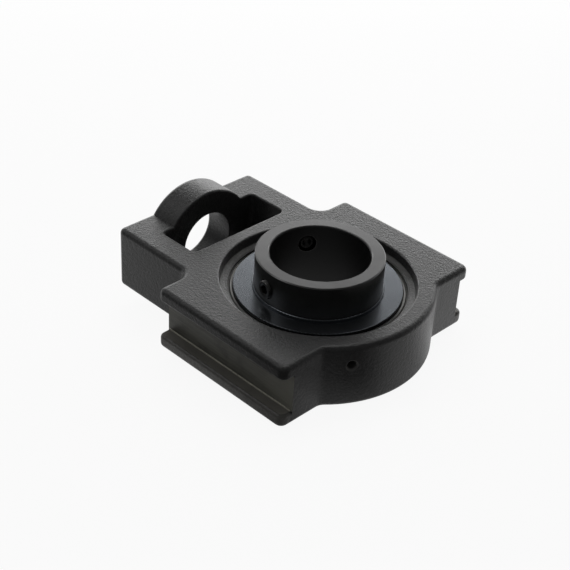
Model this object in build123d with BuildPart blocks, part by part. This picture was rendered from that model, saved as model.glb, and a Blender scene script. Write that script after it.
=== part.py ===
from build123d import *
import os
from math import cos, radians, sin, sqrt

# Take up bearing unit: a cast slide housing that carries a set-screw insert bearing.
# Millimetres. The origin is the bearing's centre, +Z runs along the shaft towards the set
# screws, and +X runs from the screw eye towards the rounded nose.

os.makedirs("parts", exist_ok=True)

# Slide body, the plate that runs between the two guide rails
slide_reach_front = 47.2
slide_reach_back = 48.2
slide_width = 146.0
slide_thickness = 38.0
rail_corner_front = 4.5
rail_corner_back = 3.5

# Guide grooves, one along each side of the slide body
groove_width = 22.0
groove_depth = 7.6
groove_lip_radius = 1.8
groove_corner_radius = 0.6

# Rounded nose around the bearing
nose_radius = 64.8
nose_corner = 7.0

# Screw eye block with its nut window
eye_reach = 109.5
eye_block_width = 102.0
eye_wall = 20.0
eye_corner = 3.5
eye_neck_radius = 8.0
eye_boss_diameter = 64.5
eye_boss_blend = 7.0
eye_hole_diameter = 35.0
eye_hole_outer_rounding = 2.5
eye_hole_inner_rounding = 0.6
window_length = 27.0
window_width = 69.6
window_corner = 3.0
window_rounding = 1.2

# Edge rounding of the casting
cast_rounding = 3.0

# Bearing
shaft_diameter = 55.0
ring_sphere_diameter = 100.0
ring_width = 25.0
ring_edge = 0.4
collar_reach = 34.7
short_reach = 22.2
collar_wall = 7.8
collar_edge = 0.6
bore_edge = 0.8

# Balls and raceways
ball_count = 10
ball_diameter = 14.288
pitch_diameter = 77.5
race_conformity = 0.52
race_clearance = 0.1
race_depth = 2.6

# Bearing seat in the housing
seat_clearance = 0.1
seat_width = 24.0
seat_relief_width = 0.8
seat_band_height = 13.1
seat_band_rise = 0.7
seat_band_width = 3.9
recess_diameter = 108.4
recess_rounding = 1.0

# Grease way from the nose to the balls
grease_azimuth = -30.0
grease_height = 7.0
grease_hole_diameter = 5.0
grease_sink_diameter = 6.8
grease_sink_angle = 90.0
grease_groove_width = 6.0
grease_groove_depth = 2.0
ring_grease_hole_diameter = 2.5
ring_grease_hole_count = 2
ring_grease_hole_spacing = 120.0

# Seals, held in a groove in each side of the outer ring
seal_groove_height = 9.2
seal_groove_width = 1.5
seal_groove_lip = 0.6
seal_groove_depth = 0.7
seal_clearance = 0.1
seal_web = 1.0
seal_lip_gap = 0.3
seal_lip_thickness = 0.5
seal_lip_width = 2.4

# Flingers, pressed on the inner ring outside the seals
flinger_sheet = 0.8
flinger_fold = 0.55
flinger_face_height = 14.3
flinger_hub_height = 1.3
flinger_hub_sheet = 0.9
flinger_gap = 0.3
flinger_floor_gap = 0.4
ring_rim_width = 1.3

# Ball cage, pressed from two sheets and riveted
cage_sheet = 1.0
cage_band_width = 4.2
cage_pocket_gap = 0.2
rivet_diameter = 2.3
rivet_head_diameter = 3.6
rivet_head_height = 0.8
rivet_head_taper = 30.0

# Set screws
screw_diameter = 10.0
screw_clearance = 0.1
screw_collar_end_distance = 11.3
screw_azimuths = (-99.0, 148.0)
screw_sink_width = 0.6
screw_sink_angle = 90.0
screw_tip_gap = 1.1
screw_length = 8.0
screw_edge = 0.6
screw_point_edge = 1.5
socket_flats = 5.0
socket_depth = 3.2
cup_diameter = 5.0
cup_depth = 1.25
cup_angle = 90.0

# Lengths worked out from the sizes above
tolerance = 0.01
half_thickness = slide_thickness / 2
half_width = slide_width / 2
slide_length = slide_reach_front + slide_reach_back
groove_floor = half_width - groove_depth
eye_length = eye_reach - slide_reach_back
eye_half_width = eye_block_width / 2
neck_radius = min(eye_neck_radius, groove_floor - groove_lip_radius - eye_half_width)
window_centre = eye_wall + window_length / 2 - eye_reach
boss_radius = eye_boss_diameter / 2
eye_hole_radius = eye_hole_diameter / 2

bore_radius = shaft_diameter / 2
collar_radius = bore_radius + collar_wall
sphere_radius = ring_sphere_diameter / 2
ring_half = ring_width / 2
ring_face_radius = sqrt(sphere_radius**2 - ring_half**2)

ball_radius = ball_diameter / 2
pitch_radius = pitch_diameter / 2
race_radius = race_conformity * ball_diameter
inner_race_bottom = pitch_radius - ball_radius - race_clearance
outer_race_bottom = pitch_radius + ball_radius + race_clearance
inner_land_radius = inner_race_bottom + race_depth
outer_land_radius = outer_race_bottom - race_depth
race_half_width = sqrt(race_radius**2 - (race_radius - race_depth) ** 2)

seat_radius = sphere_radius + seat_clearance
seat_half = seat_width / 2
seat_edge_radius = sqrt(seat_radius**2 - seat_half**2)
relief_radius = seat_edge_radius + seat_relief_width
band_radius = relief_radius + seat_band_width
recess_radius = recess_diameter / 2
grease_sink_depth = (grease_sink_diameter - grease_hole_diameter) / 2

rim_recess_radius = ring_face_radius - ring_rim_width
seal_groove_top = seal_groove_height + seal_groove_width
seal_lip_top = seal_groove_top + seal_groove_lip
seal_mouth_radius = rim_recess_radius - seal_groove_lip
seal_groove_radius = seal_mouth_radius + seal_groove_depth
flinger_radius = rim_recess_radius - flinger_gap
flinger_rim_low = seal_lip_top + flinger_floor_gap
flinger_disc_low = flinger_face_height - flinger_sheet
flinger_hub_top = flinger_face_height + flinger_hub_height
hub_radius = collar_radius + flinger_hub_sheet
land_half = seal_groove_top + flinger_sheet

screw_radius = screw_diameter / 2
screw_hole_radius = screw_radius + screw_clearance
screw_height = collar_reach - screw_collar_end_distance
screw_tip = bore_radius + screw_tip_gap
screw_head = screw_tip + screw_length


def same(value, target):
    """Whether a coordinate, on either side of the centre, is the target."""
    return abs(abs(value) - target) < tolerance


def radial_plane(azimuth, distance, height):
    """A plane at a distance from the shaft axis, facing outwards along the azimuth."""
    outwards = Vector(cos(radians(azimuth)), sin(radians(azimuth)), 0)
    return Plane(origin=outwards * distance + Vector(0, 0, height), x_dir=(0, 0, 1), z_dir=outwards)


def corners(sketch, x, y):
    """The two corners of a plan outline that lie at x, on either side of its centre line."""
    return sketch.vertices().filter_by(lambda v: abs(v.X - x) < tolerance and same(v.Y, y))


def rims(part, radius):
    """The circular edges of a part that have the radius."""
    return part.edges().filter_by(GeomType.CIRCLE).filter_by(lambda e: same(e.radius, radius))


def at_window(edge):
    """Whether an edge lies on the rim of the nut window."""
    middle = edge.center()
    along = abs(middle.X - window_centre) < window_length / 2 + tolerance
    return along and abs(middle.Y) < window_width / 2 + tolerance


def inside_eye_block(edge):
    """Whether an edge lies on the boss or the window, inside the outline of the eye block."""
    middle = edge.center()
    along = tolerance - eye_reach < middle.X < -slide_reach_back
    return along and abs(middle.Y) < eye_half_width - eye_corner


def finish(part, name):
    """Label a finished piece and write it."""
    part.label = name
    export_step(part, f"parts/{name}.step")


# Housing casting
with BuildPart() as housing:
    # Plan outline of the slide body, the eye block and the nose
    with BuildSketch() as plan:
        with Locations(((slide_reach_front - slide_reach_back) / 2, 0)):
            Rectangle(slide_length, slide_width)
        with Locations((-slide_reach_back - eye_length / 2, 0)):
            Rectangle(eye_length, eye_block_width)
        with BuildLine():
            CenterArc((0, 0), nose_radius, -90, 180)
            Line((0, -nose_radius), (0, nose_radius))
        make_face()
        fillet(corners(plan, slide_reach_front, sqrt(nose_radius**2 - slide_reach_front**2)), nose_corner)
        fillet(corners(plan, slide_reach_front, half_width), rail_corner_front)
        fillet(corners(plan, -slide_reach_back, half_width), rail_corner_back)
        fillet(corners(plan, -slide_reach_back, eye_half_width), neck_radius)
        fillet(corners(plan, -eye_reach, eye_half_width), eye_corner)
    extrude(amount=half_thickness, both=True)

    # Round boss of the screw eye, blended into the plate above and below
    with BuildSketch(Plane.YZ.offset(-eye_reach)) as boss:
        Circle(boss_radius)
        Rectangle(window_width, slide_thickness)
        feet = boss.vertices().filter_by(
            lambda v: same(v.Z, half_thickness) and abs(v.Y) < boss_radius
        )
        fillet(feet, eye_boss_blend)
    extrude(amount=eye_wall)

    # Nut window
    with BuildSketch() as window:
        with Locations((window_centre, 0)):
            RectangleRounded(window_length, window_width, window_corner)
    extrude(amount=boss_radius, both=True, mode=Mode.SUBTRACT)

    # Rounded outer edges of the casting
    plate_edges = housing.edges().filter_by(
        lambda e: same(e.center().Z, half_thickness) and not inside_eye_block(e)
    )
    boss_edges = housing.edges().filter_by(
        lambda e: same(e.center().X, eye_reach) and abs(e.center().Z) > half_thickness + tolerance
    )
    fillet(plate_edges + boss_edges, cast_rounding)

    # Softened rims of the nut window
    window_edges = housing.edges().filter_by(
        lambda e: at_window(e) and abs(e.center().Z) > half_thickness - tolerance
    )
    fillet(window_edges, window_rounding)

    # Screw eye hole
    with BuildSketch(Plane.YZ.offset(-eye_reach)) as eye_hole:
        Circle(eye_hole_radius)
    extrude(amount=eye_wall, mode=Mode.SUBTRACT)
    eye_rims = rims(housing, eye_hole_radius).sort_by(Axis.X)
    fillet(eye_rims.first, eye_hole_outer_rounding)
    fillet(eye_rims.last, eye_hole_inner_rounding)

    # Machined guide grooves
    for side in (1, -1):
        with BuildSketch(Plane.YZ.offset(-slide_reach_back)) as groove:
            with Locations((side * (half_width - groove_depth / 2), 0)):
                Rectangle(groove_depth, groove_width)
            fillet(groove.vertices().filter_by(lambda v: same(v.Y, groove_floor)), groove_corner_radius)
        extrude(amount=slide_length, mode=Mode.SUBTRACT)
    lips = housing.edges().filter_by(
        lambda e: same(e.center().Z, groove_width / 2)
        and abs(e.center().Y) > groove_floor + tolerance
        and tolerance - slide_reach_back < e.center().X < slide_reach_front - tolerance
    )
    fillet(lips, groove_lip_radius)

    # Spherical bearing seat with its relief, its band and the open recess on both sides
    with BuildSketch(Plane.XZ) as seat:
        with BuildLine():
            ThreePointArc((seat_edge_radius, -seat_half), (seat_radius, 0), (seat_edge_radius, seat_half))
            for side in (1, -1):
                Polyline(
                    (seat_edge_radius, side * seat_half),
                    (relief_radius, side * seat_half),
                    (relief_radius, side * seat_band_height),
                    (band_radius, side * (seat_band_height + seat_band_rise)),
                    (recess_radius, side * half_thickness),
                    (0, side * half_thickness),
                )
            Line((0, half_thickness), (0, -half_thickness))
        make_face()
    revolve(axis=Axis.Z, mode=Mode.SUBTRACT)
    fillet(rims(housing, recess_radius), recess_rounding)

    # Grease groove around the seat and the drilled way to it from the nose
    with BuildSketch(Plane.XZ) as grease_groove:
        with Locations((seat_radius, grease_height)):
            Rectangle(2 * grease_groove_depth, grease_groove_width)
    revolve(axis=Axis.Z, mode=Mode.SUBTRACT)
    with BuildSketch(radial_plane(grease_azimuth, nose_radius, grease_height)) as grease_hole:
        Circle(grease_hole_diameter / 2)
    extrude(amount=seat_radius - nose_radius, mode=Mode.SUBTRACT)
    with BuildSketch(radial_plane(grease_azimuth, nose_radius, grease_height)) as grease_sink:
        Circle(grease_sink_diameter / 2)
    extrude(amount=-grease_sink_depth, taper=grease_sink_angle / 2, mode=Mode.SUBTRACT)
finish(housing.part, "housing")

# Outer ring: spherical outside, ball race and a seal groove in each side
with BuildPart() as outer_ring:
    with BuildSketch(Plane.XZ) as outer_section:
        with BuildLine():
            ThreePointArc((ring_face_radius, -ring_half), (sphere_radius, 0), (ring_face_radius, ring_half))
            ThreePointArc(
                (outer_land_radius, -race_half_width),
                (outer_race_bottom, 0),
                (outer_land_radius, race_half_width),
            )
            for side in (1, -1):
                Polyline(
                    (ring_face_radius, side * ring_half),
                    (rim_recess_radius, side * ring_half),
                    (rim_recess_radius, side * seal_lip_top),
                    (seal_mouth_radius, side * seal_lip_top),
                    (seal_mouth_radius, side * seal_groove_top),
                    (seal_groove_radius, side * seal_groove_top),
                    (seal_groove_radius, side * seal_groove_height),
                    (outer_land_radius, side * seal_groove_height),
                    (outer_land_radius, side * race_half_width),
                )
        make_face()
    revolve(axis=Axis.Z)
    chamfer(rims(outer_ring, ring_face_radius), ring_edge)
    for number in range(ring_grease_hole_count):
        azimuth = grease_azimuth + number * ring_grease_hole_spacing
        with BuildSketch(radial_plane(azimuth, sphere_radius, grease_height)) as ring_hole:
            Circle(ring_grease_hole_diameter / 2)
        extrude(amount=outer_land_radius - race_depth - sphere_radius, mode=Mode.SUBTRACT)
finish(outer_ring.part, "outer_ring")

# Inner ring with its set-screw collar
with BuildPart() as inner_ring:
    with BuildSketch(Plane.XZ) as inner_section:
        with BuildLine():
            ThreePointArc(
                (inner_land_radius, -race_half_width),
                (inner_race_bottom, 0),
                (inner_land_radius, race_half_width),
            )
            for side, reach in ((1, collar_reach), (-1, short_reach)):
                Polyline(
                    (inner_land_radius, side * race_half_width),
                    (inner_land_radius, side * land_half),
                    (collar_radius, side * land_half),
                    (collar_radius, side * (reach - collar_edge)),
                    (collar_radius - collar_edge, side * reach),
                    (bore_radius + bore_edge, side * reach),
                    (bore_radius, side * (reach - bore_edge)),
                )
            Line((bore_radius, collar_reach - bore_edge), (bore_radius, bore_edge - short_reach))
        make_face()
    revolve(axis=Axis.Z)
    for azimuth in screw_azimuths:
        with BuildSketch(radial_plane(azimuth, 0, screw_height)) as screw_hole:
            Circle(screw_hole_radius)
        extrude(amount=collar_radius, mode=Mode.SUBTRACT)
        with BuildSketch(radial_plane(azimuth, collar_radius, screw_height)) as screw_sink:
            Circle(screw_hole_radius + screw_sink_width)
        extrude(amount=-screw_sink_width, taper=screw_sink_angle / 2, mode=Mode.SUBTRACT)
finish(inner_ring.part, "inner_ring")

# Balls
for number in range(1, ball_count + 1):
    azimuth = radians((number - 1) * 360 / ball_count)
    with BuildPart() as ball:
        with Locations((pitch_radius * cos(azimuth), pitch_radius * sin(azimuth), 0)):
            Sphere(ball_radius)
    finish(ball.part, f"ball_{number:02d}")

# Cage halves: a flat band with a dome over each ball
pocket_radius = ball_radius + cage_pocket_gap
dome_radius = pocket_radius + cage_sheet
band_inner = pitch_radius - cage_band_width / 2
band_outer = pitch_radius + cage_band_width / 2
rivet_azimuth = 180 / ball_count
for name, side in (("cage_upper", 1), ("cage_lower", -1)):
    with BuildPart() as cage_half:
        with BuildSketch() as band:
            Circle(band_outer)
            Circle(band_inner, mode=Mode.SUBTRACT)
        extrude(amount=side * cage_sheet)
        with PolarLocations(pitch_radius, ball_count):
            Sphere(dome_radius)
        extrude(band.sketch, amount=side * dome_radius, mode=Mode.INTERSECT)
        with PolarLocations(pitch_radius, ball_count):
            Sphere(pocket_radius, mode=Mode.SUBTRACT)
        with PolarLocations(pitch_radius, ball_count, start_angle=rivet_azimuth):
            Cylinder(rivet_diameter / 2, 2 * dome_radius, mode=Mode.SUBTRACT)
    finish(cage_half.part, name)

# Rivets between the pockets, with a formed head on both sides
with BuildPart() as cage_rivets:
    with PolarLocations(pitch_radius, ball_count, start_angle=rivet_azimuth):
        Cylinder(rivet_diameter / 2, 2 * cage_sheet)
    for side in (1, -1):
        with BuildSketch(Plane.XY.offset(side * cage_sheet)) as heads:
            with PolarLocations(pitch_radius, ball_count, start_angle=rivet_azimuth):
                Circle(rivet_head_diameter / 2)
        extrude(amount=side * rivet_head_height, taper=rivet_head_taper)
finish(cage_rivets.part, "cage_rivets")

# Seals: a bead in the outer ring's groove, a web, and a lip close to the inner ring
bead_radius = seal_groove_radius - seal_clearance
bead_high = seal_groove_top - seal_clearance
web_low = seal_groove_height + seal_clearance
web_high = web_low + seal_web
lip_radius = inner_land_radius + seal_lip_gap
lip_root_radius = lip_radius + seal_lip_width
for name, side in (("seal_upper", 1), ("seal_lower", -1)):
    with BuildPart() as seal:
        with BuildSketch(Plane.XZ) as seal_section:
            with BuildLine():
                Polyline(
                    (bead_radius, side * web_low),
                    (bead_radius, side * bead_high),
                    (seal_mouth_radius - seal_web, side * bead_high),
                    (seal_mouth_radius - 2 * seal_web, side * web_high),
                    (lip_root_radius, side * web_high),
                    (lip_radius, side * (web_high + seal_lip_thickness)),
                    (lip_radius, side * web_high),
                    (lip_root_radius, side * web_low),
                    close=True,
                )
            make_face()
        revolve(axis=Axis.Z)
    finish(seal.part, name)

# Flingers: a hub pressed on the inner ring, a flat disc and a rim turned in over the seal
for name, side in (("flinger_upper", 1), ("flinger_lower", -1)):
    with BuildPart() as flinger:
        with BuildSketch(Plane.XZ) as flinger_section:
            with BuildLine():
                Polyline(
                    (collar_radius, side * flinger_disc_low),
                    (collar_radius, side * flinger_hub_top),
                    (hub_radius, side * flinger_hub_top),
                    (hub_radius, side * flinger_face_height),
                    (flinger_radius, side * flinger_face_height),
                    (flinger_radius, side * flinger_rim_low),
                    (flinger_radius - flinger_sheet, side * flinger_rim_low),
                    (flinger_radius - flinger_sheet, side * flinger_disc_low),
                    close=True,
                )
            make_face()
        revolve(axis=Axis.Z)
        hub_fold = rims(flinger, hub_radius).filter_by(lambda e: same(e.center().Z, flinger_hub_top))
        rim_fold = rims(flinger, flinger_radius).filter_by(lambda e: same(e.center().Z, flinger_face_height))
        fillet(hub_fold + rim_fold, flinger_fold)
    finish(flinger.part, name)

# Set screws with a hexagon socket and a cup point
socket_radius = socket_flats / sqrt(3)
for number, azimuth in enumerate(screw_azimuths, start=1):
    with BuildPart() as set_screw:
        with BuildSketch(radial_plane(azimuth, screw_tip, screw_height)) as shank:
            Circle(screw_radius)
        extrude(amount=screw_length)
        screw_rims = rims(set_screw, screw_radius).sort_by(lambda e: e.center().X**2 + e.center().Y**2)
        chamfer(screw_rims.last, screw_edge)
        chamfer(screw_rims.first, screw_point_edge)
        with BuildSketch(radial_plane(azimuth, screw_head, screw_height)) as socket:
            RegularPolygon(socket_radius, 6)
        extrude(amount=-socket_depth, mode=Mode.SUBTRACT)
        with BuildSketch(radial_plane(azimuth, screw_tip, screw_height)) as cup:
            Circle(cup_diameter / 2)
        extrude(amount=cup_depth, taper=cup_angle / 2, mode=Mode.SUBTRACT)
    finish(set_screw.part, f"set_screw_{number}")
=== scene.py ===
import math

import bmesh
import bpy
from mathutils import Matrix, Vector


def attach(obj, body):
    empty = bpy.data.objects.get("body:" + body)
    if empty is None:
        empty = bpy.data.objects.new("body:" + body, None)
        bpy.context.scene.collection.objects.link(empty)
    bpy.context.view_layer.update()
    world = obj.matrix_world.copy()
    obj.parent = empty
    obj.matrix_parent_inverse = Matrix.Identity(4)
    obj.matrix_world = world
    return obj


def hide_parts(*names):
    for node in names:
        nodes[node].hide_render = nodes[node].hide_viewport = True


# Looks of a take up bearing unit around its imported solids. Lengths named here are in
# millimetres in the part's frame, and MM turns them into metres.
MM = 0.001

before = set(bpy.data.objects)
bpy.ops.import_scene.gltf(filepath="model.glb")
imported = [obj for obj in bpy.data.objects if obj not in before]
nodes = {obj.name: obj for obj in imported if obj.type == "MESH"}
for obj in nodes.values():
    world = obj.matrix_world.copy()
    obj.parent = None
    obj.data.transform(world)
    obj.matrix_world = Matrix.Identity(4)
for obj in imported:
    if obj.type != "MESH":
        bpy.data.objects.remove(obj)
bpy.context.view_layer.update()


def grey(value, tint=(1.0, 1.0, 1.0)):
    """A grey of a brightness, turned towards a tint."""
    return (value * tint[0], value * tint[1], value * tint[2], 1.0)


# Camera of the photograph: its place, its axes and its focal length on a 36 mm sensor
CAMERA_PLACE = Vector((383.122, -433.774, 397.854)) * MM
CAMERA_RIGHT = Vector((0.70347578, 0.70881682, 0.05196677))
CAMERA_DOWN = Vector((0.42457964, -0.36049027, -0.83052929))
CAMERA_FORWARD = Vector((-0.56995961, 0.60632127, -0.55454536))
CAMERA_LENS = 80.334
CAMERA_SENSOR = 36.0

# The unit rests on the screw eye's boss and on the inner ring's lower rim
REST_ON_BOSS = Vector((-90.2, 0.0, -32.25)) * MM
REST_ON_RING = Vector((34.7, 0.0, -22.2)) * MM
FLOOR_HALF = 6000.0
FLOOR_GREY = 0.82
FLOOR_WHITE = 0.92

# The floor in glossy faces: it gets brighter in two steps towards the far side of the room
FAR_FLOOR = (-0.45, 0.89, 0.0)
FLOOR_DARK_TO = -105.0
FLOOR_NEAR_FROM = -55.0
FLOOR_NEAR_TO = -13.0
FLOOR_FAR_FROM = 35.0
FLOOR_DARK = 0.02
FLOOR_NEAR = 0.52
FLOOR_FAR = 0.95

# Where that floor lies in shade: centre of each round shade, and where it starts and stops to clear
SHADES = (((-80.0, 0.0, 0.0), 40.0, 60.0), ((100.0, -36.0, 0.0), 15.0, 45.0))
RIGHT = (1.0, 0.0, 0.0)
RIGHT_SHADE_FROM = 100.0
RIGHT_SHADE_TO = 200.0
RIGHT_SHADE = 0.15

# The room in glossy faces: bright behind the unit, softly filled on the camera's side, dim above
BACK = (-0.68, 0.73, 0.0)
BACK_SPAN = (-0.1, 0.8)
BACK_TOP = (0.45, 0.62)
BACK_LIGHT = 0.82
FRONT = (0.68, -0.73, 0.0)
FRONT_SPAN = (0.2, 0.8)
FRONT_TOP = (0.3, 0.5)
FRONT_LIGHT = 0.15
DIM_LIGHT = 0.08
ROOM_LIGHT = 0.24

# Machined places of the housing, with slacks for the rounded numbers of its mesh
GROOVE_FLOOR = 65.4
GROOVE_HALF = 11.0
SLACK = 0.05
WALL_SLACK = 0.03
CORNER_WIDTH = 0.62
LEDGE_START = 0.7
FLANGE_START = 1.0
PALER_FROM = 10.0
PALER_TO = 48.0
SEAT_OUTER = 49.6
SEAT_TOP = 13.3
RECESS_OUTER = 54.4
RECESS_FLOOR = 14.2
GREASE_AZIMUTH = -30.0
GREASE_HEIGHT = 7.0
SINK_RADIUS = 3.5
SINK_REACH = 55.0

# Sizes of the casting's patterns, as cells in a metre
GRAIN = 1400.0
SAND = 640.0
MOTTLE = 150.0
STAIN = 90.0
CLOUD = 32.0
PLANED = (40.0, 900.0, 900.0)

# Colours of the coat and of bare iron, the darker and the paler of a pair. Some hold painted light:
# a highlight on the groove's corner, shade on the recess wall, a paler ledge and countersink.
BROWN = (1.0, 0.985, 0.84)
RUSTY = (1.0, 0.96, 0.87)
DUSTY = (1.0, 0.96, 0.86)
OILY = (1.0, 1.0, 0.9)
WARM = (1.0, 1.0, 0.95)
COAT = (grey(0.013), grey(0.028, (1.0, 1.01, 0.99)))
COAT_MOTTLE = grey(0.024)
COAT_CLOUD = grey(0.012)
GROOVE_BARE = (grey(0.06, BROWN), grey(0.09, BROWN))
GROOVE_STAIN = grey(0.03, (1.0, 0.95, 0.84))
GROOVE_PALER = grey(0.17, BROWN)
# Painted highlight of the groove's lower inner corner
CORNER_HIGHLIGHT = grey(0.46, (1.0, 0.99, 0.9))
# Dust on the ledge, painted paler also as light into the lip's shade
LEDGE_DUST_AND_LIGHT = (grey(0.1, DUSTY), grey(0.16, DUSTY))
FLANGE_BARE = (grey(0.045, RUSTY), grey(0.1, RUSTY))
SEAT_BARE = (grey(0.028, OILY), grey(0.05, OILY))
RECESS_COAT = (grey(0.02, WARM), grey(0.075, WARM))
# Painted shade of the recess wall
RECESS_WALL_SHADE = grey(0.009)
# Bare countersink, paler also as a painted highlight
SINK_BARE_AND_HIGHLIGHT = grey(0.055, (1.0, 0.99, 0.95))

# How much of the coat, the stain and the wear shows, and how rough and coarse the casting is
MOTTLE_SHARE = 0.4
CLOUD_SHARE = 0.3
STAIN_SHARE = 0.5
PALER_SHARE = 0.55
FLANGE_SHARE = 0.8
COAT_ROUGH = (0.27, 0.42)
BARE_ROUGH = 0.42
BARE_METAL = 0.15
SAND_SHARE = 0.65
GRAIN_SHARE = 0.35
PLANED_SHARE = 0.12
CAST_STRENGTH = 0.52
CAST_DEPTH = 0.9

# The bore, and the folds of the flinger at its hub and its rim, painted darker as shade over
# their glints: where they lie, share of paleness
BORE_EDGE = 27.9
BORE_ROUGH = 0.5
TURNING_DEPTH = 0.04
FLINGER_FOLD_SHADES = ((35.0, 36.35, 0.5), (46.25, 47.0, 0.25))

# How far a screw hole and its countersink reach from the hole's axis, and the dark grey painted there
# as shade
HOLE_REACH = 5.6
HOLE_SHADE = 0.06

# Set screws: radius, thread, length, and where the tip and the axis lie
SCREW_RADIUS = 5.0
THREAD_PITCH = 1.0
THREAD_DEPTH = 0.55
THREAD_FLANK = 1.25
THREAD_STEPS = 112
SCREW_LENGTH = 8.0
SCREW_TIP = 28.6
SCREW_HEIGHT = 23.4
SCREW_AZIMUTHS = {"set_screw_1": -99.0, "set_screw_2": 148.0}
TIP_REACH = 32.0
HEAD_EDGE = 0.6
POINT_EDGE = 1.5
CUP_RADIUS = 2.5
CUP_DEPTH = 1.25

# Their hexagon socket: half its width, its mouth and that mouth's slope, and its drilled floor
SOCKET_HALF = 2.5
SOCKET_MOUTH = 3.1
MOUTH_SLOPE = 0.6
SOCKET_DEPTH = 3.2
SOCKET_FLOOR_EDGE = 0.4
SOCKET_FLOOR_INSET = 0.3
SOCKET_FLOOR_POINT = 0.7

# Meshes of the turned pieces: points in a turn, sharpest smooth edge and the joining distance
TURN = 96
SHARP_ANGLE = 38.0
JOIN_DISTANCE = 0.002


def make_camera():
    """The camera that took the photograph."""
    data = bpy.data.cameras.new("photo_camera")
    data.sensor_width = CAMERA_SENSOR
    data.lens = CAMERA_LENS
    data.clip_start = 0.01
    data.clip_end = 20.0
    camera = bpy.data.objects.new("photo_camera", data)
    bpy.context.scene.collection.objects.link(camera)
    axes = Matrix((CAMERA_RIGHT, -CAMERA_DOWN, -CAMERA_FORWARD)).transposed()
    camera.matrix_world = Matrix.Translation(CAMERA_PLACE) @ axes.to_4x4()
    bpy.context.scene.camera = camera


class Tree:
    """Short calls for building the nodes of a material or of the world."""

    def __init__(self, owner):
        self.tree = owner.node_tree
        self.tree.nodes.clear()

    def node(self, kind, **values):
        """A new node with its settings by name."""
        made = self.tree.nodes.new(kind)
        for key, value in values.items():
            setattr(made, key, value)
        return made

    def put(self, socket, value):
        """Gives a socket a number or colour, or links another socket to it."""
        if isinstance(value, bpy.types.NodeSocket):
            self.tree.links.new(value, socket)
        else:
            socket.default_value = value

    def math(self, operation, a, b=0.0):
        made = self.node("ShaderNodeMath", operation=operation)
        self.put(made.inputs[0], a)
        self.put(made.inputs[1], b)
        return made.outputs[0]

    def times(self, a, b):
        """The product of two numbers. Of two tests, it is 1 where both hold."""
        return self.math("MULTIPLY", a, b)

    def above(self, value, limit):
        """1 where a length is over a limit in millimetres, and 0 elsewhere."""
        return self.math("GREATER_THAN", value, limit * MM)

    def below(self, value, limit):
        """1 where a length is under a limit in millimetres, and 0 elsewhere."""
        return self.math("LESS_THAN", value, limit * MM)

    def distance(self, a, b):
        """How far a point lies from the origin of two coordinates."""
        return self.math("SQRT", self.math("ADD", self.times(a, a), self.times(b, b)))

    def steps(self, value, low, high):
        """0 below low, 1 above high and a smooth rise between them."""
        made = self.node("ShaderNodeMapRange", interpolation_type="SMOOTHSTEP")
        self.put(made.inputs["Value"], value)
        made.inputs["From Min"].default_value = low
        made.inputs["From Max"].default_value = high
        return made.outputs["Result"]

    def mix(self, share, a, b):
        """A colour between a and b."""
        made = self.node("ShaderNodeMix", data_type="RGBA")
        self.put(made.inputs[0], share)
        self.put(made.inputs[6], a)
        self.put(made.inputs[7], b)
        return made.outputs[2]

    def blend(self, share, a, b):
        """A number between a and b."""
        made = self.node("ShaderNodeMix", data_type="FLOAT")
        self.put(made.inputs[0], share)
        self.put(made.inputs[2], a)
        self.put(made.inputs[3], b)
        return made.outputs[0]

    def noise(self, vector, scale, detail, rough):
        made = self.node("ShaderNodeTexNoise")
        self.put(made.inputs["Vector"], vector)
        made.inputs["Scale"].default_value = scale
        made.inputs["Detail"].default_value = detail
        made.inputs["Roughness"].default_value = rough
        return made.outputs["Fac"]

    def place(self):
        """The point in the piece's own frame."""
        return self.node("ShaderNodeTexCoord").outputs["Object"]

    def axes(self, vector):
        """The x, y and z of a vector."""
        split = self.node("ShaderNodeSeparateXYZ")
        self.put(split.inputs[0], vector)
        return split.outputs[0], split.outputs[1], split.outputs[2]

    def scaled(self, vector, factors):
        made = self.node("ShaderNodeVectorMath", operation="MULTIPLY")
        self.put(made.inputs[0], vector)
        made.inputs[1].default_value = factors
        return made.outputs[0]

    def toward(self, vector, side):
        """How far a place or a direction lies to a side of the room."""
        made = self.node("ShaderNodeVectorMath", operation="DOT_PRODUCT")
        self.put(made.inputs[0], vector)
        made.inputs[1].default_value = side
        return made.outputs["Value"]

    def bump(self, height, strength, depth):
        """A relief of a depth in millimetres."""
        made = self.node("ShaderNodeBump")
        made.inputs["Strength"].default_value = strength
        made.inputs["Distance"].default_value = depth * MM
        self.put(made.inputs["Height"], height)
        return made.outputs[0]

    def surface(self, **values):
        """The Principled shader, with its inputs by name, and the output."""
        shader = self.node("ShaderNodeBsdfPrincipled")
        for name, value in values.items():
            self.put(shader.inputs[name.replace("_", " ")], value)
        self.finish("ShaderNodeOutputMaterial", shader)

    def finish(self, kind, shader):
        """The output node, with a shader on its surface."""
        output = self.node(kind)
        self.put(output.inputs["Surface"], shader.outputs[0])


def new_material(name):
    """A material and the tree of its nodes."""
    material = bpy.data.materials.new(name)
    material.use_nodes = True
    return material, Tree(material)


def from_hole(t, place, azimuth, height):
    """How far a point lies from the axis of a hole that points at the shaft, and how far out."""
    x, y, z = place
    cosine = math.cos(math.radians(azimuth))
    sine = math.sin(math.radians(azimuth))
    across = t.math("SUBTRACT", t.times(y, cosine), t.times(x, sine))
    out = t.math("ADD", t.times(x, cosine), t.times(y, sine))
    rise = t.math("SUBTRACT", z, height * MM)
    return t.distance(across, rise), out


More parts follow.
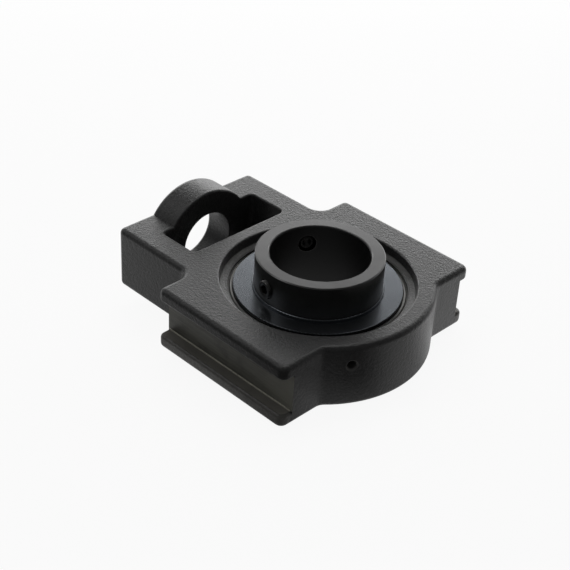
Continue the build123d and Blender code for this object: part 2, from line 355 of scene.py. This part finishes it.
def cast_iron():
    """Black coated sand casting, bare and dull where its grooves and its seat are machined."""
    material, t = new_material("cast_iron_black")
    vector = t.place()
    x, y, z = t.axes(vector)
    side = t.math("ABSOLUTE", y)
    up = t.math("ABSOLUTE", z)
    radius = t.distance(x, y)
    grain = t.noise(vector, GRAIN, 3.0, 0.6)
    sand = t.noise(vector, SAND, 3.0, 0.6)
    mottle = t.noise(vector, MOTTLE, 3.0, 0.5)
    cloud = t.noise(vector, CLOUD, 2.0, 0.5)
    stain = t.noise(vector, STAIN, 3.0, 0.6)
    planed = t.noise(t.scaled(vector, PLANED), 1.0, 3.0, 0.6)

    # Coat: dark with paler worn grains
    coat = t.mix(t.steps(grain, 0.45, 0.7), *COAT)
    coat = t.mix(t.times(t.steps(mottle, 0.4, 0.75), MOTTLE_SHARE), coat, COAT_MOTTLE)
    coat = t.mix(t.times(t.steps(cloud, 0.4, 0.7), CLOUD_SHARE), coat, COAT_CLOUD)
    coat_rough = t.blend(sand, *COAT_ROUGH)

    # Machined grooves, stained brown and paler towards the nose
    in_groove = t.times(
        t.above(side, GROOVE_FLOOR - SLACK),
        t.below(up, GROOVE_HALF + WALL_SLACK),
    )
    bare = t.mix(t.steps(planed, 0.3, 0.7), *GROOVE_BARE)
    bare = t.mix(t.times(t.steps(stain, 0.45, 0.75), STAIN_SHARE), bare, GROOVE_STAIN)
    paler_to_nose = t.times(t.steps(x, PALER_FROM * MM, PALER_TO * MM), PALER_SHARE)
    bare = t.mix(paler_to_nose, bare, GROOVE_PALER)

    # Lower flanges, where the coat is worn off
    flange = t.times(t.above(side, GROOVE_FLOOR + FLANGE_START), t.below(z, -GROOVE_HALF))
    coat = t.mix(t.times(flange, FLANGE_SHARE), coat, t.mix(mottle, *FLANGE_BARE))

    # Painted highlight along the lower inner corner: a pale metallic strip for a fillet's glint
    corner = t.times(
        t.below(z, CORNER_WIDTH - GROOVE_HALF),
        t.below(side, GROOVE_FLOOR + CORNER_WIDTH),
    )
    corner_highlight = t.times(corner, in_groove)
    bare = t.mix(corner_highlight, bare, CORNER_HIGHLIGHT)

    # Ledge of the lower flange: dusty, and painted paler as light that lifts the shade of the lip
    # above
    ledge = t.times(
        t.below(z, SLACK - GROOVE_HALF),
        t.above(side, GROOVE_FLOOR + LEDGE_START),
    )
    bare = t.mix(ledge, bare, t.mix(stain, *LEDGE_DUST_AND_LIGHT))

    # Turned seat band
    in_seat = t.times(t.below(radius, SEAT_OUTER), t.below(up, SEAT_TOP))
    bare = t.mix(in_seat, bare, t.mix(stain, *SEAT_BARE))

    # Open recess above and below the seat, with its wall painted near black as shade
    in_recess = t.times(t.below(radius, RECESS_OUTER), t.above(up, SEAT_TOP))
    coat = t.mix(in_recess, coat, t.mix(mottle, *RECESS_COAT))
    in_wall = t.times(in_recess, t.above(up, RECESS_FLOOR))
    coat = t.mix(in_wall, coat, RECESS_WALL_SHADE)

    # Countersink of the grease hole: bare, and painted paler as the glints of its thread
    off, out = from_hole(t, (x, y, z), GREASE_AZIMUTH, GREASE_HEIGHT)
    in_sink = t.times(t.below(off, SINK_RADIUS), t.above(out, SINK_REACH))
    bare = t.mix(in_sink, bare, SINK_BARE_AND_HIGHLIGHT)

    machined = t.math("MAXIMUM", t.math("MAXIMUM", in_groove, in_seat), in_sink)
    relief = t.math("ADD", t.times(sand, SAND_SHARE), t.times(grain, GRAIN_SHARE))
    relief = t.blend(machined, relief, t.times(planed, PLANED_SHARE))
    t.surface(
        Base_Color=t.mix(machined, coat, bare),
        Roughness=t.blend(machined, coat_rough, BARE_ROUGH),
        Metallic=t.math("MAXIMUM", t.times(machined, BARE_METAL), corner_highlight),
        Normal=t.bump(relief, CAST_STRENGTH, CAST_DEPTH),
    )
    return material


def in_screw_hole(t, place, azimuth):
    """1 within a screw hole of the collar and 0 outside it."""
    off, out = from_hole(t, place, azimuth, SCREW_HEIGHT)
    return t.times(t.below(off, HOLE_REACH), t.above(out, 0.0))


def turned(name, base, tint, rough, marks, polish, bore=1.0, holes=(), fold_shades=()):
    """Dark steel turned or ground about the shaft axis.

    Its bore may be darker, by a share of its paleness, and it is rougher. Its screw holes lie at
    azimuths and are painted dark as shade. Each fold shade is the least and the greatest radius of
    a band painted darker as shade over the fold's glints, and its share of the paleness.
    """
    material, t = new_material(name)
    vector = t.place()
    x, y, z = t.axes(vector)
    radius = t.distance(x, y)
    lines = t.node("ShaderNodeCombineXYZ")
    t.put(lines.inputs[0], t.times(radius, marks))
    t.put(lines.inputs[2], t.times(z, marks))
    rings = t.noise(lines.outputs[0], 1.0, 2.0, 0.6)
    cloud = t.noise(vector, 70.0, 3.0, 0.55)
    inside = t.below(radius, BORE_EDGE)
    colour = t.mix(t.steps(cloud, 0.3, 0.7), grey(base * 0.92, tint), grey(base * 1.06, tint))
    colour = t.mix(inside, colour, grey(base * bore, tint))
    # Painted shade over the flinger's folds, dimming their glints
    for inner, outer, share in fold_shades:
        in_fold_shade = t.times(t.above(radius, inner), t.below(radius, outer))
        colour = t.mix(in_fold_shade, colour, grey(base * share, tint))
    # Painted shade: each screw hole of the collar and its rim darker
    for azimuth in holes:
        colour = t.mix(in_screw_hole(t, (x, y, z), azimuth), colour, grey(HOLE_SHADE, tint))
    t.surface(
        Base_Color=colour,
        Roughness=t.blend(inside, t.blend(rings, rough * 0.8, rough * 1.25), BORE_ROUGH),
        Metallic=1.0,
        Normal=t.bump(rings, polish, TURNING_DEPTH),
    )
    return material


def plain_metal(name, base, tint, rough, tip=1.0):
    """Smooth metal with a faint mottle. Near the bore, the tip of a screw may be darker."""
    material, t = new_material(name)
    vector = t.place()
    x, y = t.axes(vector)[:2]
    cloud = t.noise(vector, 240.0, 3.0, 0.6)
    colour = t.mix(cloud, grey(base * 0.85, tint), grey(base * 1.1, tint))
    colour = t.mix(t.below(t.distance(x, y), TIP_REACH), colour, grey(base * tip, tint))
    t.surface(
        Base_Color=colour,
        Roughness=t.blend(cloud, rough * 0.8, rough * 1.2),
        Metallic=1.0,
    )
    return material


def rubber():
    """Dull black rubber with a fine grain."""
    material, t = new_material("seal_rubber")
    grain = t.noise(t.place(), 1300.0, 3.0, 0.6)
    t.surface(
        Base_Color=t.mix(grain, grey(0.018), grey(0.032)),
        Roughness=0.62,
        Normal=t.bump(grain, 0.3, 0.1),
    )
    return material


def paint_nodes():
    """Materials of the solids. The balls are the nodes that the list doesn't name."""
    iron = cast_iron()
    ring = turned(
        "ring_black",
        base=0.134,
        tint=(1.0, 1.0, 1.0),
        rough=0.3,
        marks=5200.0,
        polish=0.2,
        bore=0.27,
        holes=SCREW_AZIMUTHS.values(),
    )
    flinger = turned(
        "flinger_black",
        base=0.245,
        tint=(0.92, 0.99, 1.08),
        rough=0.21,
        marks=900.0,
        polish=0.04,
        fold_shades=FLINGER_FOLD_SHADES,
    )
    outer = turned(
        "outer_ring_steel",
        base=0.2,
        tint=(1.0, 0.99, 0.95),
        rough=0.28,
        marks=4200.0,
        polish=0.2,
    )
    ball = plain_metal("ball_steel", base=0.62, tint=(1.0, 1.0, 1.02), rough=0.12)
    cage = plain_metal("cage_steel", base=0.46, tint=(1.0, 0.99, 0.96), rough=0.36)
    screw = plain_metal("screw_black", base=0.1, tint=(1.0, 0.99, 0.97), rough=0.3, tip=0.45)
    seal = rubber()
    by_name = {
        "housing": iron,
        "inner_ring": ring,
        "outer_ring": outer,
        "flinger_upper": flinger,
        "flinger_lower": flinger,
        "seal_upper": seal,
        "seal_lower": seal,
        "cage_upper": cage,
        "cage_lower": cage,
        "cage_rivets": cage,
        "set_screw_1": screw,
        "set_screw_2": screw,
    }
    for name, node in nodes.items():
        node.data.materials.clear()
        node.data.materials.append(by_name.get(name, ball))


def lathe(name, rings, matrix):
    """A closed turned piece: each ring is a function of the angle that gives a radius and a height."""
    mesh = bmesh.new()
    rows = []
    for ring in rings:
        row = []
        for step in range(TURN):
            angle = math.tau * step / TURN
            radius, height = ring(angle)
            point = Vector((radius * math.cos(angle), radius * math.sin(angle), height)) * MM
            row.append(mesh.verts.new(matrix @ point))
        rows.append(row)
    for low, high in zip(rows, rows[1:]):
        for step in range(TURN):
            after = (step + 1) % TURN
            mesh.faces.new((low[step], low[after], high[after], high[step]))
    bmesh.ops.remove_doubles(mesh, verts=mesh.verts[:], dist=JOIN_DISTANCE * MM)
    bmesh.ops.recalc_face_normals(mesh, faces=mesh.faces[:])
    for face in mesh.faces:
        face.smooth = True
    for edge in mesh.edges:
        edge.smooth = edge.calc_face_angle(math.pi) < math.radians(SHARP_ANGLE)
    data = bpy.data.meshes.new(name)
    mesh.to_mesh(data)
    mesh.free()
    made = bpy.data.objects.new(name, data)
    bpy.context.scene.collection.objects.link(made)
    return made


def level_ring(radius, height):
    """A round ring at one height."""
    return lambda angle: (radius, height)


def thread_ring(height):
    """The threaded shank at a height, with its chamfered ends."""
    def ring(angle):
        phase = (height / THREAD_PITCH - angle / math.tau) % 1.0
        flank = min(1.0, abs(2.0 * phase - 1.0) * THREAD_FLANK)
        radius = SCREW_RADIUS - THREAD_DEPTH * (1.0 - flank)
        point = SCREW_RADIUS - POINT_EDGE + height
        head = SCREW_RADIUS - HEAD_EDGE + SCREW_LENGTH - height
        return min(radius, point, head), height
    return ring


def hexagon(angle):
    """How far the flats of the socket lie from its axis at an angle."""
    off_middle = (angle + math.radians(30)) % math.radians(60) - math.radians(30)
    return SOCKET_HALF / math.cos(off_middle)


def mouth_ring(angle):
    """Where the cone of the socket's mouth meets its flats."""
    return hexagon(angle), SCREW_LENGTH - (SOCKET_MOUTH - hexagon(angle)) * MOUTH_SLOPE


def flats_ring(angle):
    """Where the flats of the socket end above its floor."""
    return hexagon(angle), SCREW_LENGTH - SOCKET_DEPTH + SOCKET_FLOOR_EDGE


def make_screw(name, azimuth):
    """A set screw with a real helical thread, a hexagon socket and a cup point."""
    turn = math.radians(azimuth)
    outwards = Vector((math.cos(turn), math.sin(turn), 0.0))
    across = Vector((0.0, 0.0, 1.0))
    axes = Matrix((across, outwards.cross(across), outwards)).transposed().to_4x4()
    place = outwards * SCREW_TIP * MM + Vector((0.0, 0.0, SCREW_HEIGHT)) * MM
    floor = SCREW_LENGTH - SOCKET_DEPTH
    cup = [
        level_ring(0.0, CUP_DEPTH),
        level_ring(CUP_RADIUS - CUP_DEPTH, CUP_DEPTH),
        level_ring(CUP_RADIUS, 0.0),
    ]
    shank = [
        thread_ring(SCREW_LENGTH * step / THREAD_STEPS) for step in range(THREAD_STEPS + 1)
    ]
    socket = [
        level_ring(SOCKET_MOUTH, SCREW_LENGTH),
        mouth_ring,
        flats_ring,
        level_ring(SOCKET_HALF - SOCKET_FLOOR_INSET, floor),
        level_ring(0.0, floor - SOCKET_FLOOR_POINT),
    ]
    screw = lathe(name + "_threaded", cup + shank + socket, Matrix.Translation(place) @ axes)
    screw.data.materials.append(nodes[name].data.materials[0])
    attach(screw, name)
    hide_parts(name)


def floor_in_gloss(t, vector):
    """How bright a place on the floor is in glossy faces."""
    depth = t.toward(vector, FAR_FLOOR)
    near = t.blend(t.steps(depth, FLOOR_DARK_TO * MM, FLOOR_NEAR_FROM * MM), FLOOR_DARK, FLOOR_NEAR)
    bright = t.blend(t.steps(depth, FLOOR_NEAR_TO * MM, FLOOR_FAR_FROM * MM), near, FLOOR_FAR)
    for centre, dark, clear in SHADES:
        away = t.node("ShaderNodeVectorMath", operation="DISTANCE")
        t.put(away.inputs[0], t.scaled(vector, (1.0, 1.0, 0.0)))
        away.inputs[1].default_value = Vector(centre) * MM
        bright = t.times(bright, t.steps(away.outputs["Value"], dark * MM, clear * MM))
    right = t.steps(t.toward(vector, RIGHT), RIGHT_SHADE_FROM * MM, RIGHT_SHADE_TO * MM)
    return t.times(bright, t.blend(right, 1.0, RIGHT_SHADE))


def sight_rays(t, path):
    """1 for rays from the camera, straight or through a clear face."""
    return t.math("MAXIMUM", path.outputs["Is Camera Ray"], path.outputs["Is Transmission Ray"])


def make_floor():
    """A white floor under the two lines the unit rests on. It takes the unit's shadow."""
    level = (REST_ON_RING - REST_ON_BOSS).normalized() * FLOOR_HALF * MM
    across = Vector((0.0, FLOOR_HALF * MM, 0.0))
    signs = ((-1, -1), (1, -1), (1, 1), (-1, 1))
    corners = [REST_ON_RING + level * a + across * b for a, b in signs]
    mesh = bpy.data.meshes.new("floor")
    mesh.from_pydata(corners, [], [(0, 1, 2, 3)])
    floor = bpy.data.objects.new("floor", mesh)
    bpy.context.scene.collection.objects.link(floor)
    material, t = new_material("floor_white")
    mesh.materials.append(material)

    # Almost white to the camera, white with shades in glossy faces, and grey to other light
    path = t.node("ShaderNodeLightPath")
    gloss = path.outputs["Is Glossy Ray"]
    shaded = t.node("ShaderNodeBsdfDiffuse")
    shaded.inputs["Color"].default_value = grey(FLOOR_GREY)
    white = t.node("ShaderNodeEmission")
    t.put(white.inputs["Strength"], t.blend(gloss, 1.0, floor_in_gloss(t, t.place())))
    mixed = t.node("ShaderNodeMixShader")
    t.put(mixed.inputs[0], t.math("MAXIMUM", t.times(sight_rays(t, path), FLOOR_WHITE), gloss))
    t.put(mixed.inputs[1], shaded.outputs[0])
    t.put(mixed.inputs[2], white.outputs[0])

    # Open from below, so that the unit shows from there
    open_below = t.node("ShaderNodeMixShader")
    t.put(open_below.inputs[0], t.node("ShaderNodeNewGeometry").outputs["Backfacing"])
    t.put(open_below.inputs[1], mixed.outputs[0])
    t.put(open_below.inputs[2], t.node("ShaderNodeBsdfTransparent").outputs[0])
    t.finish("ShaderNodeOutputMaterial", open_below)


def make_surround():
    """A room that is white to the camera. In glossy faces it is bright behind and dim above."""
    world = bpy.data.worlds.new("surround")
    bpy.context.scene.world = world
    world.use_nodes = True
    t = Tree(world)
    vector = t.node("ShaderNodeTexCoord").outputs["Generated"]
    z = t.axes(vector)[2]
    behind = t.steps(t.toward(vector, BACK), *BACK_SPAN)
    behind = t.times(behind, t.math("SUBTRACT", 1.0, t.steps(z, *BACK_TOP)))
    fill = t.steps(t.toward(vector, FRONT), *FRONT_SPAN)
    fill = t.times(fill, t.math("SUBTRACT", 1.0, t.steps(z, *FRONT_TOP)))
    seen = t.blend(behind, DIM_LIGHT, BACK_LIGHT)
    seen = t.math("MAXIMUM", seen, t.times(fill, FRONT_LIGHT))
    path = t.node("ShaderNodeLightPath")
    strength = t.blend(path.outputs["Is Glossy Ray"], ROOM_LIGHT, seen)
    strength = t.blend(sight_rays(t, path), strength, 1.0)
    room = t.node("ShaderNodeBackground")
    room.inputs["Color"].default_value = grey(1.0)
    t.put(room.inputs["Strength"], strength)
    t.finish("ShaderNodeOutputWorld", room)


def panel(name, place, size, power):
    """A soft rectangular lamp that faces the unit, its place and size in metres."""
    data = bpy.data.lights.new(name, "AREA")
    data.shape = "RECTANGLE"
    data.size, data.size_y = size
    data.energy = power
    made = bpy.data.objects.new(name, data)
    bpy.context.scene.collection.objects.link(made)
    made.location = place
    made.rotation_mode = "QUATERNION"
    made.rotation_quaternion = (-Vector(place)).to_track_quat("-Z", "Y")


make_camera()
paint_nodes()
for screw_name, screw_azimuth in SCREW_AZIMUTHS.items():
    make_screw(screw_name, screw_azimuth)
make_floor()
make_surround()
panel("back_panel", place=(-0.6, 0.665, 0.24), size=(1.4, 0.42), power=4.4)
panel("left_panel", place=(-0.7, -0.65, 1.22), size=(0.8, 0.8), power=2.3)
panel("top_panel", place=(-0.25, 0.35, 1.3), size=(0.8, 0.8), power=4.0)

bpy.context.scene.view_settings.view_transform = "Standard"

bpy.context.view_layer.update()
